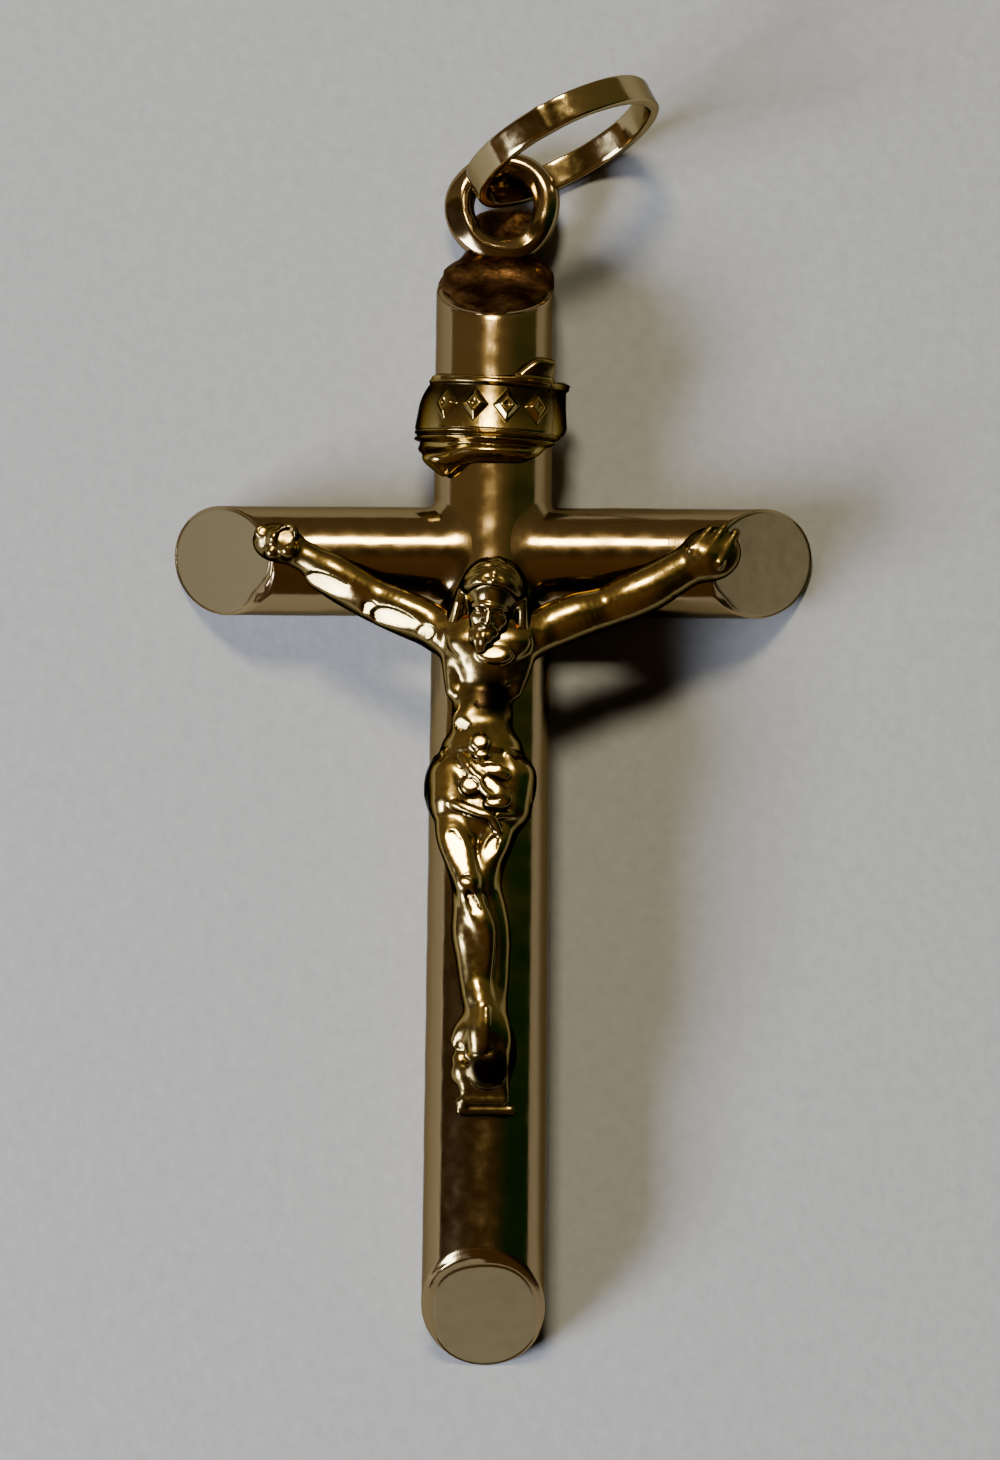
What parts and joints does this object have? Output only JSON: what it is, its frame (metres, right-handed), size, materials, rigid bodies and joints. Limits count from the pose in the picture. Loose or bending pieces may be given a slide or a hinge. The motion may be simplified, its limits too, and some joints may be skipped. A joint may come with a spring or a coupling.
{
  "type": "crucifix pendant",
  "caption": "Hollow round-tube crucifix pendant with slanted flat ends, a cast figure, a wrapped scroll, a soldered eye and a flat jump ring, lying on its back.",
  "frame": {"origin": "under the middle of the whole length, on the stem's axis line, on the surface that the pendant lies on", "axes": "+Y along the stem to its top and the jump ring, +Z out of the front, up from the surface, X along the arms"},
  "size_m": [0.0186, 0.0366, 0.0059],
  "materials": {
    "polished_gold_tube": "polished, worn, with fine scratches",
    "cast_gold_figure": "polished casting, dark in its hollows",
    "cast_gold_scroll": "polished casting, dark in its hollows",
    "pale_gold_ring": "polished strip, scuffed"
  },
  "bodies": {
    "root": {"cross": "polished_gold_tube", "corpus": "cast_gold_figure", "scroll": "cast_gold_scroll", "jump_ring": "pale_gold_ring"}
  },
  "joints": []
}
